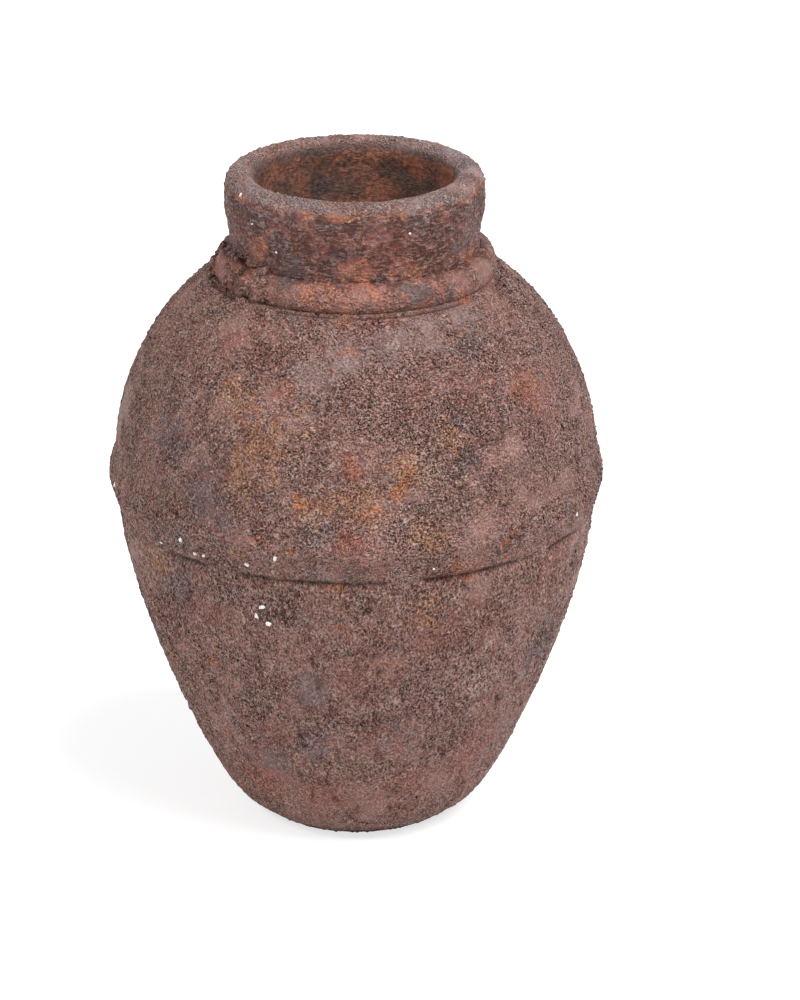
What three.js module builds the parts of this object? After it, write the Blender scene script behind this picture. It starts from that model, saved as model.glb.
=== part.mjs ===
// A hand-built earthenware storage jar: a round base, a lower wall, a shoulder, a short neck and a thick
// rolled rim. The sections are luted together in stepped joints, with a band of clay round the belly joint,
// a coil round the foot of the neck, and two thin coils pressed over the seams inside.
// Millimetres, +Z up. The origin is the middle of the underside, and Z is the jar's axis.

import * as THREE from 'three';

// Driving dimensions: heights, from the ground up
const ledgeHeight = 12;
const floorThickness = 18;
const lowerWallHeight = 183;
const bandHeight = 34;
const bellyJointRise = 17;
const bellyTongueHeight = 6;
const shoulderHeight = 108;
const mouthEdgeHeight = 9;
const collarHeight = 16.5;
const neckHeight = 40;
const neckTongueHeight = 5;
const rimHeight = 23;

// Driving dimensions: outside radii, and how far one piece stands out past the next
const baseContactRadius = 55.6;
const baseCornerRadius = 8;
const bandEdgeRadius = 142.5;
const bandSpread = 1.1;
const neckFootRadius = 73.3;
const neckFlare = 3;
const collarWidth = 9.7;
const collarFootInset = 2;
const collarCrestRise = 4.5;
const landMargin = 3.2;

// Driving dimensions: walls, lands and tongues
const bodyWall = 12;
const bellyLandDepth = 3.4;
const bellyTongueWall = 4.2;
const neckWall = 14.8;
const neckSpigotWall = 7.2;
const neckTongueWall = 7;
const lipOverhang = 0.5;
const seamCoilWidth = 11;
const seamCoilHeight = 9;
const bellyCoilHeight = 15;
const bellyCoilBulge = 4;

// Driving dimensions: how far each curve leans from the vertical, and how long it keeps that lean
const footLean = THREE.MathUtils.degToRad(52);
const footReach = 16.5;
const bellyLean = THREE.MathUtils.degToRad(7);
const bellyReach = 73;
const bandFootLean = THREE.MathUtils.degToRad(12.5);
const bandTopLean = THREE.MathUtils.degToRad(-19.5);
const bandReach = 20;
const shoulderLean = THREE.MathUtils.degToRad(-4.5);
const shoulderReach = 59;
const shoulderTopLean = THREE.MathUtils.degToRad(-58.5);
const shoulderTopReach = 23.5;

// Clearance between nested faces, and how finely round stretches are cut
const clearance = 0.3;
const facets = 60;
const wallSteps = 8;
const bandSteps = 7;
const collarFootSteps = 3;
const collarTopSteps = 6;
const neckSteps = 4;
const lipSteps = 10;
const cornerSteps = 4;
const coilSteps = 4;

// Levels of the joints, worked out from the heights
const bandLedgeLevel = ledgeHeight + lowerWallHeight;
const bellyJointLevel = bandLedgeLevel + bellyJointRise;
const bellyTongueLevel = bellyJointLevel + bellyTongueHeight;
const bandTopLevel = bandLedgeLevel + bandHeight;
const landLevel = bandTopLevel + shoulderHeight;
const neckRootLevel = landLevel + collarHeight;
const spigotLevel = landLevel - mouthEdgeHeight;
const rimJointLevel = landLevel + neckHeight;
const neckTongueLevel = rimJointLevel + neckTongueHeight;
const topLevel = rimJointLevel + rimHeight;

// Outside radii, worked out from the belly and the neck
const shoulderFootRadius = bandEdgeRadius + bandSpread;
const rimRadius = neckFootRadius + neckFlare;
const collarRadius = neckFootRadius + collarWidth;
const shoulderTopRadius = collarRadius + landMargin;

// Radii of the joints, worked out from the walls
const bellyLandRadius = bandEdgeRadius - bellyLandDepth;
const bellyBoreRadius = bandEdgeRadius - bodyWall;
const bellyTongueRadius = bellyBoreRadius + bellyTongueWall;
const neckBoreRadius = neckFootRadius - neckWall;
const neckSpigotRadius = neckBoreRadius + neckSpigotWall;
const mouthRadius = neckSpigotRadius + clearance;
const neckTongueRadius = neckBoreRadius + neckTongueWall;
const lipBoreRadius = neckBoreRadius - lipOverhang;

function point(radius, level) {
  return new THREE.Vector2(radius, level);
}

// A curve that leaves one point at one lean and reaches another point at another lean
function leaningCurve(start, startLean, startReach, end, endLean, endReach) {
  const startHandle = point(
    start.x + startReach * Math.sin(startLean),
    start.y + startReach * Math.cos(startLean),
  );
  const endHandle = point(
    end.x - endReach * Math.sin(endLean),
    end.y - endReach * Math.cos(endLean),
  );
  return new THREE.CubicBezierCurve(start, startHandle, endHandle, end);
}

// The radius of a rising outline at one level, on its straight stretch there
function radiusAt(outline, level) {
  const above = outline.findIndex((corner) => corner.y > level);
  const lower = outline[above - 1];
  const upper = outline[above];
  const share = (level - lower.y) / (upper.y - lower.y);
  return lower.x + share * (upper.x - lower.x);
}

// Part of an upright ellipse, from one angle to another, with both ends
function ellipseArc(centre, radiusX, radiusY, fromDegrees, toDegrees, steps) {
  const from = THREE.MathUtils.degToRad(fromDegrees);
  const to = THREE.MathUtils.degToRad(toDegrees);
  return new THREE.EllipseCurve(centre.x, centre.y, radiusX, radiusY, from, to).getPoints(steps);
}

// Turn an outline round the jar's axis. It runs with the clay on its left, and closes on itself,
// unless it starts and ends on the axis. LatheGeometry turns round Y, so the result is stood up on Z.
function turned(name, outline, material) {
  const onAxis = outline[0].x === 0;
  const profile = onAxis ? outline : [...outline, outline[0]];
  const geometry = new THREE.LatheGeometry(profile, facets);
  geometry.rotateX(Math.PI / 2);
  const mesh = new THREE.Mesh(geometry, material);
  mesh.name = name;
  return mesh;
}

const crustedClay = new THREE.MeshStandardMaterial({ color: 0x83655f, roughness: 0.85, metalness: 0 });
const beltClay = new THREE.MeshStandardMaterial({ color: 0x8a6157, roughness: 0.85, metalness: 0 });
const brushedClay = new THREE.MeshStandardMaterial({ color: 0x6e4f4b, roughness: 0.75, metalness: 0 });
const lipClay = new THREE.MeshStandardMaterial({ color: 0x8b7270, roughness: 0.8, metalness: 0 });
const innerClay = new THREE.MeshStandardMaterial({ color: 0x5b3e39, roughness: 0.9, metalness: 0 });

// The base: the corner turns up to the wall's lean, then runs straight to the ledge
const cornerAngle = Math.PI / 2 - footLean;
const cornerRise = baseCornerRadius * (1 - Math.cos(cornerAngle));
const cornerReach = baseCornerRadius * Math.sin(cornerAngle);
const footRadius = baseContactRadius + cornerReach + (ledgeHeight - cornerRise) * Math.tan(footLean);

// The lower wall: its outside from the ledge to the belly band, and its inside from floor level upwards
const lowerOutside = leaningCurve(
  point(footRadius, ledgeHeight), footLean, footReach,
  point(bandEdgeRadius, bandLedgeLevel), bellyLean, bellyReach,
).getPoints(wallSteps);
const footBoreRadius = radiusAt(lowerOutside, floorThickness) - bodyWall / Math.cos(footLean);
const lowerInside = leaningCurve(
  point(footBoreRadius, floorThickness), footLean, footReach,
  point(bellyBoreRadius, bandLedgeLevel), bellyLean, bellyReach,
).getPoints(wallSteps);

function baseDisc() {
  const cornerCentre = point(baseContactRadius, baseCornerRadius);
  const cornerEnd = -THREE.MathUtils.radToDeg(footLean);
  const outline = [
    point(0, 0),
    ...ellipseArc(cornerCentre, baseCornerRadius, baseCornerRadius, -90, cornerEnd, cornerSteps),
    point(footRadius, ledgeHeight),
    point(footBoreRadius - clearance, ledgeHeight),
    point(footBoreRadius - clearance, floorThickness),
    point(0, floorThickness),
  ];
  return turned('base_disc', outline, crustedClay);
}

function lowerWall() {
  const outline = [
    point(footBoreRadius, ledgeHeight),
    ...lowerOutside,
    point(bellyLandRadius, bandLedgeLevel),
    point(bellyLandRadius, bellyJointLevel),
    point(bellyTongueRadius, bellyJointLevel),
    point(bellyTongueRadius, bellyTongueLevel),
    point(bellyBoreRadius, bellyTongueLevel),
    ...lowerInside.toReversed(),
  ];
  return turned('lower_wall', outline, crustedClay);
}

// The band sits on the lower wall's ledge, round the land that both walls share
function bellyBand() {
  const innerRadius = bellyLandRadius + clearance;
  const edgeLevel = bandTopLevel - clearance;
  const swell = leaningCurve(
    point(bandEdgeRadius, bandLedgeLevel), bandFootLean, bandReach,
    point(shoulderFootRadius, edgeLevel), bandTopLean, bandReach,
  );
  const outline = [
    point(innerRadius, bandLedgeLevel),
    ...swell.getPoints(bandSteps),
    point(innerRadius, edgeLevel),
  ];
  return turned('belly_band', outline, beltClay);
}

// The shoulder: a skirt over the lower wall's tongue, a dome, and a flat land round the mouth
function shoulderWall() {
  const outside = leaningCurve(
    point(shoulderFootRadius, bandTopLevel), shoulderLean, shoulderReach,
    point(shoulderTopRadius, landLevel), shoulderTopLean, shoulderTopReach,
  );
  const inside = leaningCurve(
    point(bellyBoreRadius, bandTopLevel), shoulderLean, shoulderReach,
    point(mouthRadius, spigotLevel), shoulderTopLean, shoulderTopReach,
  );
  const skirtRadius = bellyTongueRadius + clearance;
  const outline = [
    point(skirtRadius, bellyJointLevel),
    point(bellyLandRadius, bellyJointLevel),
    point(bellyLandRadius, bandTopLevel),
    ...outside.getPoints(wallSteps),
    point(mouthRadius, landLevel),
    ...inside.getPoints(wallSteps).reverse(),
    point(bellyBoreRadius, bellyTongueLevel + clearance),
    point(skirtRadius, bellyTongueLevel + clearance),
  ];
  return turned('shoulder_wall', outline, crustedClay);
}

// The collar ring lies on the shoulder's land, round the foot of the neck
function collarRing() {
  const innerRadius = neckFootRadius + clearance;
  const crestLevel = landLevel + collarCrestRise;
  const lowerCentre = point(collarRadius - collarFootInset, crestLevel);
  const upperCentre = point(innerRadius, crestLevel);
  const upperWidth = collarRadius - innerRadius;
  const upperHeight = collarHeight - collarCrestRise;
  const outline = [
    point(innerRadius, landLevel),
    ...ellipseArc(lowerCentre, collarFootInset, collarCrestRise, -90, 0, collarFootSteps),
    ...ellipseArc(upperCentre, upperWidth, upperHeight, 0, 90, collarTopSteps).slice(1),
  ];
  return turned('collar_ring', outline, brushedClay);
}

// The neck stands on the land with its spigot in the mouth, and its tongue reaches up into the rim.
// Its foot is straight inside the collar ring, and it flares from there to the rim.
function neckTube() {
  const flare = new THREE.QuadraticBezierCurve(
    point(neckFootRadius, neckRootLevel),
    point(neckFootRadius, (neckRootLevel + rimJointLevel) / 2),
    point(rimRadius, rimJointLevel),
  );
  const outline = [
    point(neckBoreRadius, spigotLevel),
    point(neckSpigotRadius, spigotLevel),
    point(neckSpigotRadius, landLevel),
    point(neckFootRadius, landLevel),
    ...flare.getPoints(neckSteps),
    point(neckTongueRadius, rimJointLevel),
    point(neckTongueRadius, neckTongueLevel),
    point(neckBoreRadius, neckTongueLevel),
  ];
  return turned('neck_wall', outline, brushedClay);
}

// The rim: a half-round lip over straight sides, with a step below that seats on the neck
function rimCoil() {
  const lipRadius = (rimRadius - lipBoreRadius) / 2;
  const lipCentre = point(rimRadius - lipRadius, topLevel - lipRadius);
  const stepRadius = neckTongueRadius + clearance;
  const stepLevel = neckTongueLevel + clearance;
  const outline = [
    point(stepRadius, rimJointLevel),
    point(rimRadius, rimJointLevel),
    ...ellipseArc(lipCentre, lipRadius, lipRadius, 0, 180, lipSteps),
    point(neckBoreRadius, stepLevel),
    point(stepRadius, stepLevel),
  ];
  return turned('rim_coil', outline, lipClay);
}

// A coil pressed into the corner of floor and wall: it lies on the floor and follows the wall
function floorSeamCoil() {
  const coilTop = floorThickness + seamCoilHeight;
  const outerFoot = point(footBoreRadius - clearance, floorThickness);
  const outerTop = point(radiusAt(lowerInside, coilTop) - clearance / Math.cos(footLean), coilTop);
  const innerFoot = point(outerFoot.x - seamCoilWidth, floorThickness);
  const face = new THREE.QuadraticBezierCurve(
    outerTop,
    point(outerFoot.x - seamCoilWidth / 2, floorThickness + seamCoilHeight),
    innerFoot,
  );
  const outline = [outerFoot, ...face.getPoints(coilSteps)];
  return turned('floor_seam_coil', outline, innerClay);
}

// A coil pressed over the belly joint from inside, level with the end of the tongue
function bellySeamCoil() {
  const outerRadius = bellyBoreRadius - clearance;
  const centre = point(outerRadius, bellyTongueLevel);
  const halfHeight = bellyCoilHeight / 2;
  const outline = ellipseArc(centre, bellyCoilBulge, halfHeight, 90, 270, coilSteps * 2);
  return turned('belly_seam_coil', outline, innerClay);
}

const jar = new THREE.Group();
jar.add(
  baseDisc(),
  lowerWall(),
  bellyBand(),
  shoulderWall(),
  collarRing(),
  neckTube(),
  rimCoil(),
  floorSeamCoil(),
  bellySeamCoil(),
);

export default jar;
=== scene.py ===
# The looks of a hand-built earthenware storage jar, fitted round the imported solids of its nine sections.
# Each section is turned again, much more finely, from the outline of its own solid, and the jar's crust of
# slip and sand is raised on it as relief. Metres, +Z up. Azimuths are in degrees: 0 faces the viewer, and
# they grow to the right.
import math
import random

import bmesh
import bpy
import numpy as np
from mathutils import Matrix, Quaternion, Vector
from mathutils.bvhtree import BVHTree


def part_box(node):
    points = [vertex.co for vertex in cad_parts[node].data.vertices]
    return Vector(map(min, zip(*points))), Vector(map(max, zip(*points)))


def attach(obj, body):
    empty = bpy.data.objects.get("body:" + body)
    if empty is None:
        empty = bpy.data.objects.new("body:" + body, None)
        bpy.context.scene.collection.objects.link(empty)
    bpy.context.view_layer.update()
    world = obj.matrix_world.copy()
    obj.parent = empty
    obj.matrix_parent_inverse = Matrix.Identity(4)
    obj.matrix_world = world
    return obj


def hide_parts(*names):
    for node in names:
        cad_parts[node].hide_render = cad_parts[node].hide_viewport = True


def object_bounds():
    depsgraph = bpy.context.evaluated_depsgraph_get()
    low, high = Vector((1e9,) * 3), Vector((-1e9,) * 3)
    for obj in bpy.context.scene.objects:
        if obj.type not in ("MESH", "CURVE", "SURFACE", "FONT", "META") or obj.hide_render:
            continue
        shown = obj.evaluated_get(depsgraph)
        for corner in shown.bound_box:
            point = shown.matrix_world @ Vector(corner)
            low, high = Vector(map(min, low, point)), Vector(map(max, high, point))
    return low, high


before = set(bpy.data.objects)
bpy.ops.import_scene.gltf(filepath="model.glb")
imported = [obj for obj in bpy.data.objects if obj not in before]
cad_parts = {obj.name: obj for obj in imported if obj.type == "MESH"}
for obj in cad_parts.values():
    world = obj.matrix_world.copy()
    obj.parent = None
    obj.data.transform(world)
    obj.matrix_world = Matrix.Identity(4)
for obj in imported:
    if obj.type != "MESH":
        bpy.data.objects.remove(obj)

cad_low, cad_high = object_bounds()
MM = 0.001

# The nine sections
BASE = "base_disc"
LOWER = "lower_wall"
BAND = "belly_band"
SHOULDER = "shoulder_wall"
COLLAR = "collar_ring"
NECK = "neck_wall"
RIM = "rim_coil"
FLOOR_COIL = "floor_seam_coil"
BELLY_COIL = "belly_seam_coil"
SECTIONS = (BASE, LOWER, BAND, SHOULDER, COLLAR, NECK, RIM, FLOOR_COIL, BELLY_COIL)

# How finely the sections are turned
FACETS = 560
HIDDEN_FACETS = 96
SHARP_TURN = math.radians(50)
COVER_REACH = 1.5 * MM
FADE_REACH = 3 * MM
SEAM_REACH = 0.5 * MM
SEAM_FADE = 6 * MM
MERGE_REACH = 0.02 * MM

# Chips on the sides that don't show, and the seeds of what is strewn
HIDDEN_CHIPS = 22
CHIP_SEED = 11
TURN_SEED = 4

# The crust: its grain, its heights as geometry and as fine relief, and its gloss
CRUMB_SIZE = 2.8 * MM
BODY_GRIT = 0.95 * MM
UPPER_GRIT = 1.0 * MM
INNER_GRIT = 2.4 * MM
CRUMB_HEIGHT = 1.2 * MM
WOBBLE_HEIGHT = 2.2 * MM
CRUMB_RELIEF = 1.6 * MM
GRIT_RELIEF = 3.0 * MM
BRUSHED_RELIEF = 2.4 * MM
INNER_RELIEF = 0.6 * MM
LIME_RELIEF = 0.2 * MM
CLAY_GLOSS = 0.25

# Levels and radii read from the frame
floor_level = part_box(BASE)[1].z
band_foot_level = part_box(BAND)[0].z
land_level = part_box(COLLAR)[0].z
neck_root_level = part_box(COLLAR)[1].z
top_level = cad_high.z
widest_radius = cad_high.x


def in_metres(rows):
    """Rows of an azimuth in degrees and sizes in millimetres, with their sizes in metres."""
    return [(azimuth, *(size * MM for size in sizes)) for azimuth, *sizes in rows]


# The level creases pressed in along the seams: level, depth and reach
CREASES = (
    (band_foot_level, 2.2 * MM, 3.5 * MM),
    (land_level, 0.8 * MM, 1.0 * MM),
)

# Lumps of clay left where the collar ring was pressed on: azimuth, level, reach and height
LUMPS = in_metres((
    (-77, 352, 8, 4.5), (-63, 352, 7, 4.5), (-51, 347, 7, 3.5), (-52, 338, 7, 4.0),
    (-43, 344, 6, 2.4), (-84, 340, 10, 2.4), (78, 350, 9, 1.8), (128, 343, 11, 2.6),
    (171, 349, 9, 2.2), (-132, 341, 10, 2.6),
))

# Small holes in the crust: azimuth, level, reach and depth
HOLES = in_metres((
    (37.2, 214, 2.6, 2.4), (39.6, 211.5, 2.2, 2.0), (-45.8, 223, 2.4, 2.2), (-44.9, 228, 1.8, 1.6),
    (-62, 215, 2.2, 1.8), (118, 231, 2.6, 2.2), (-121, 251, 2.4, 2.0), (163, 152, 2.6, 2.2),
))

# Places that the hand or the brush left smooth: azimuth, level and reach
SMOOTH_PLACES = in_metres((
    (-15, 313, 13), (-2, 320, 14), (12, 325, 14), (27, 330, 15), (42, 334, 17), (-33, 358, 12),
    (58, 376, 18), (25, 346, 12), (-38, 243, 15), (-34, 228, 12), (-29, 221, 10), (-43, 257, 9),
    (-6, 200, 9), (-13, 122, 13), (-33, 60, 18), (30, 184, 12), (5, 35, 18),
))

# Where each tint gathers on the skin: azimuth, level and reach
SMOKE_PLACES = in_metres((
    (-15, 313, 17), (-2, 320, 18), (12, 325, 18), (27, 330, 19), (42, 334, 21), (-33, 358, 13),
    (25, 349, 13), (-12, 298, 14), (-8, 201, 9), (-45, 207, 14),
))
PLUM_PLACES = in_metres((
    (-38, 242, 20), (-33, 225, 14), (-52, 262, 22), (-13, 121, 18), (-33, 60, 24), (11, 91, 18),
    (-13, 78, 16), (-50, 180, 30), (60, 120, 26), (-8, 228, 14), (-2, 205, 12), (37, 318, 12),
    (32, 303, 11), (28, 285, 11), (28, 264, 12),
))
OCHRE_PLACES = in_metres((
    (-22, 272, 26), (-27, 254, 18), (-14, 289, 14), (-34, 294, 16), (13, 262, 16), (5, 236, 12),
    (-10, 240, 14), (17, 174, 16), (24, 276, 14), (17, 222, 14), (0, 245, 18),
))
RUST_PLACES = in_metres((
    (-3, 193, 8), (24, 200, 16), (2, 360, 13), (25, 358, 10), (62, 356, 9), (-17, 348, 14),
    (-2, 348, 11), (10, 346, 8), (48, 339, 9), (-50, 365, 12), (-20, 303, 9), (-1, 262, 12),
    (-2, 224, 9), (-40, 41, 18), (52, 292, 18),
))
EMBER_PLACES = in_metres((
    (9, 249, 5), (11, 254, 5), (12.5, 262, 4), (-23, 239, 3), (-13.6, 243, 5), (2, 236.5, 5),
    (4.5, 240, 4), (16.6, 222, 4), (-11, 193.5, 2), (-8.5, 193.5, 2), (-6, 192.5, 3),
    (-3.5, 192, 3), (-1, 192.5, 2), (1, 192.5, 2), (23.7, 200, 4), (36, 211, 4), (38, 216, 3),
    (37, 200.5, 3), (-46.5, 225.5, 3), (-23, 220, 4), (-15, 216, 3), (-41.7, 128.5, 4),
    (3.4, 366, 6), (2.5, 356, 5), (-48, 373, 4), (-44, 369, 4), (-50, 353, 4), (-10, 350, 5),
    (-20, 348, 5), (7, 350, 4), (50, 338, 5), (68, 355, 6), (17, 357, 4),
))
PALE_PLACES = in_metres((
    (-16, 263, 10), (-1, 254, 7), (9, 114, 12), (35, 118, 18), (18, 268, 18), (-33, 278, 10),
    (-48, 248, 12), (12, 205, 14), (26, 204, 8), (-33, 214, 7), (-20, 205, 8), (-22, 165, 5),
    (-9, 231, 13), (8, 233, 13),
))
REDDISH_PLACES = in_metres((
    (2, 130, 26), (8, 84, 22), (-38, 48, 26), (-12, 40, 22), (15, 40, 24), (40, 60, 30),
    (33, 160, 24), (52, 190, 22), (18, 155, 18), (-60, 150, 30), (-40, 165, 16), (-2, 214, 16),
    (0, 262, 16), (52, 280, 26), (33, 300, 18), (-28, 318, 18),
))

# The tints: what each is called, its places, and the size and scarcity of its chance blots everywhere else
TINTS = (
    ("smoke", SMOKE_PLACES, 34 * MM, 0.62),
    ("plum", PLUM_PLACES, 46 * MM, 0.6),
    ("ochre", OCHRE_PLACES, 38 * MM, 0.6),
    ("rust", RUST_PLACES, 22 * MM, 0.62),
    ("ember", EMBER_PLACES, 10 * MM, 0.7),
    ("pale", PALE_PLACES, 18 * MM, 0.62),
    ("reddish", REDDISH_PLACES, 30 * MM, 0.56),
)

# Stains on the inside below the lip: azimuth, level and reach
INSIDE_OCHRE_PLACES = in_metres((
    (-164, 378.5, 1.6), (-173, 380.5, 1.8), (-170, 388, 1.4), (-115, 387, 2.2), (171, 391, 2.4),
    (150, 386, 1.6),
))
INSIDE_SOOT_PLACES = in_metres((
    (159, 384, 9), (-157, 370, 10), (-135, 392, 8), (128, 372, 10),
))

# Clods of crust stuck to the collar ring and the walls beside it: azimuth, level and width
CLODS = in_metres((
    (-88, 351, 7), (-80, 354, 6), (-72, 355, 8), (-65, 353, 8), (-58, 351, 7), (-53, 354, 9),
    (-46, 353, 8), (-60, 359, 6), (-66, 338, 8), (-56, 337, 9), (-50, 342, 7), (-44, 344, 8),
    (-47, 336, 7), (-39, 343, 6), (-62, 332, 7), (-74, 334, 8), (-61, 346, 7), (-41, 349, 6),
    (-83, 343, 8), (136, 339, 8), (141, 344, 6), (-139, 337, 7),
))

# White lime chips that the photograph shows: azimuth, level and width
CHIPS = in_metres((
    (-76.5, 216, 3.0), (-52.2, 200, 2.4), (-44.1, 209, 3.8), (-40.3, 202, 2.6), (-37.8, 202, 2.8),
    (-26.0, 203, 3.2), (-18.5, 210, 3.0), (-23.1, 176, 4.4), (-24.7, 170, 3.4), (-21.7, 166, 4.2),
    (74.7, 203, 2.6), (61.1, 210, 2.6), (17.7, 203, 1.8), (-61.6, 395, 2.4), (-51.0, 381, 1.8),
    (-37.2, 368, 1.8), (24.2, 382, 2.0),
))


def linear(chip):
    """The linear colour of a paint chip written as a hex number."""
    channels = [(chip >> shift & 255) / 255 for shift in (16, 8, 0)]
    return [c / 12.92 if c <= 0.04045 else ((c + 0.055) / 1.055) ** 2.4 for c in channels] + [1.0]


# Colours of the clay and its slips; the near black, the deep brown and the soot also serve as painted shade,
# and the dust as painted highlights on grain tops
BROWN = linear(0x9E766B)
ROSE = linear(0xAB8079)
UMBER = linear(0x815F56)
OLIVE = linear(0x99785B)
NECK_BROWN = linear(0x522A22)
NECK_PLUM = linear(0x442D2F)
COLLAR_RED = linear(0x805246)
LIP_ROSE = linear(0x8A6A62)
LIP_GREY = linear(0x807273)
PLUM = linear(0x705D5F)
SMOKE = linear(0x8A7979)
SOOT_AND_SHADE = linear(0x4D4243)
DUST_AND_HIGHLIGHT = linear(0xD2BBB2)
DEEP_SHADE = linear(0x4E2D26)
DARK_SLIP_AND_SHADE = linear(0x2A1814)
RED = linear(0x985D54)
RUST = linear(0xA8644D)
SALMON = linear(0xB4776B)
EMBER = linear(0xBE6F43)
ORANGE = linear(0xC07E4C)
OCHRE = linear(0xC4A070)
INSIDE_BROWN = linear(0x936250)
INSIDE_DARK = linear(0x684F46)
INSIDE_RUST = linear(0x96583A)
LIME = linear(0xF2EEE9)
PALE_FLOOR = linear(0xBCBCBC)
DIM_FLOOR = linear(0xB8B8B8)
BRIGHT_FLOOR = linear(0xEEEEEE)
WHITE = linear(0xFFFFFF)
FLOOR_LIFT = 0.7
SKY_LIGHT = 0.36


class Net:
    """One node tree, with a short word for each kind of node. A socket or a plain value feeds any input."""

    def __init__(self, tree):
        self.tree = tree

    def node(self, kind, feeds=None, **settings):
        made = self.tree.nodes.new(kind)
        for name, value in settings.items():
            setattr(made, name, value)
        for key, value in (feeds or {}).items():
            self.feed(made.inputs[key], value)
        return made

    def feed(self, socket, value):
        if isinstance(value, bpy.types.NodeSocket):
            self.tree.links.new(value, socket)
        else:
            socket.default_value = value

    def math(self, operation, a, b=0.0):
        return self.node("ShaderNodeMath", {0: a, 1: b}, operation=operation).outputs[0]

    def add(self, a, b):
        return self.math("ADD", a, b)

    def less(self, a, b):
        return self.math("SUBTRACT", a, b)

    def times(self, a, b):
        return self.math("MULTIPLY", a, b)

    def most(self, a, b):
        return self.math("MAXIMUM", a, b)

    def ramp(self, value, low, high, to_low=0.0, to_high=1.0):
        """A soft step: to_low at low, to_high at high."""
        feeds = {0: value, 1: low, 2: high, 3: to_low, 4: to_high}
        return self.node("ShaderNodeMapRange", feeds, interpolation_type="SMOOTHSTEP").outputs[0]

    def blend(self, share, a, b):
        """Two numbers mixed."""
        return self.node("ShaderNodeMix", {0: share, 2: a, 3: b}, data_type="FLOAT").outputs[0]

    def tint(self, share, a, b, way="MIX"):
        """Two colours mixed."""
        return self.node("ShaderNodeMix", {0: share, 6: a, 7: b}, data_type="RGBA", blend_type=way).outputs[2]

    def wash(self, colour, ink, share, strength=1.0):
        """The colour under a share of an ink."""
        return self.tint(share if strength == 1.0 else self.times(share, strength), colour, ink)

    def vector(self, operation, a, b=(0.0, 0.0, 0.0)):
        return self.node("ShaderNodeVectorMath", {0: a, 1: b}, operation=operation).outputs[0]

    def distance(self, a, b):
        return self.node("ShaderNodeVectorMath", {0: a, 1: b}, operation="DISTANCE").outputs["Value"]

    def parts(self, vector):
        return self.node("ShaderNodeSeparateXYZ", {0: vector}).outputs

    def joined(self, x, y, z):
        return self.node("ShaderNodeCombineXYZ", {0: x, 1: y, 2: z}).outputs[0]

    def noise(self, point, size, detail=2.0, rough=0.5, shift=0.0):
        """Cloudy noise from 0 to 1 whose blots are about one size across. A shift gives another pattern."""
        feeds = {"Vector": point, "W": shift, "Scale": 1 / size, "Detail": detail, "Roughness": rough}
        return self.node("ShaderNodeTexNoise", feeds, noise_dimensions="4D").outputs["Fac"]

    def cells(self, point, size, smooth=None):
        """The node of a pattern of cells: its distance is 0 in the middle of each."""
        feeds = {"Vector": point, "Scale": 1 / size}
        if smooth is None:
            return self.node("ShaderNodeTexVoronoi", feeds)
        made = self.node("ShaderNodeTexVoronoi", feeds, feature="SMOOTH_F1")
        made.inputs["Smoothness"].default_value = smooth
        return made

    def warp(self, point, size, reach):
        """The point pushed about by noise, so that what is drawn with it wanders."""
        feeds = {"Vector": point, "Scale": 1 / size, "Detail": 1.0}
        push = self.node("ShaderNodeTexNoise", feeds).outputs["Color"]
        centred = self.vector("SUBTRACT", push, (0.5, 0.5, 0.5))
        return self.vector("ADD", point, self.vector("MULTIPLY", centred, (reach, reach, reach)))

    def stretch(self, point, around, upright):
        """The point scaled so that marks are drawn out round the jar, or up it."""
        return self.vector("MULTIPLY", point, (1 / around, 1 / around, 1 / upright))

    def shaped(self, kind, shape, **feeds):
        """The shape after one step of geometry nodes."""
        return self.node("GeometryNode" + kind, {"Geometry": shape, **feeds}).outputs[0]

    def named(self, name):
        """A number that was kept on the mesh."""
        return self.node("GeometryNodeInputNamedAttribute", {"Name": name}, data_type="FLOAT").outputs[0]

    def keep(self, shape, name, value, data_type="FLOAT", domain="POINT"):
        """The shape with a value kept on its mesh."""
        feeds = {"Geometry": shape, "Name": name, "Value": value}
        made = self.node("GeometryNodeStoreNamedAttribute", feeds, data_type=data_type, domain=domain)
        return made.outputs[0]

    def near(self, point, places):
        """1 in the middle of any of the places, and 0 out of their reach, with ragged edges."""
        ragged = self.less(self.noise(point, 9 * MM, detail=5.0, rough=0.65, shift=9.0), 0.5)
        share = None
        for place, reach in places:
            gap = self.add(self.distance(point, place), self.times(ragged, 3.4 * reach))
            here = self.ramp(gap, 1.15 * reach, 0.3 * reach)
            share = here if share is None else self.most(share, here)
        return share


def geometry_net(name, inputs, result):
    """A Net on a new geometry tree with the named inputs and one result."""
    tree = bpy.data.node_groups.new(name, "GeometryNodeTree")
    tree.is_modifier = True
    for words, kind in inputs.items():
        tree.interface.new_socket(words, in_out="INPUT", socket_type="NodeSocket" + kind)
    tree.interface.new_socket(result, in_out="OUTPUT", socket_type="NodeSocketGeometry")
    return Net(tree)


def shader_net(owner):
    """A Net on the emptied node tree of a material or a world."""
    owner.use_nodes = True
    owner.node_tree.nodes.clear()
    return Net(owner.node_tree)


def placed(name, data):
    """A new object in the scene."""
    piece = bpy.data.objects.new(name, data)
    bpy.context.scene.collection.objects.link(piece)
    return piece


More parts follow.
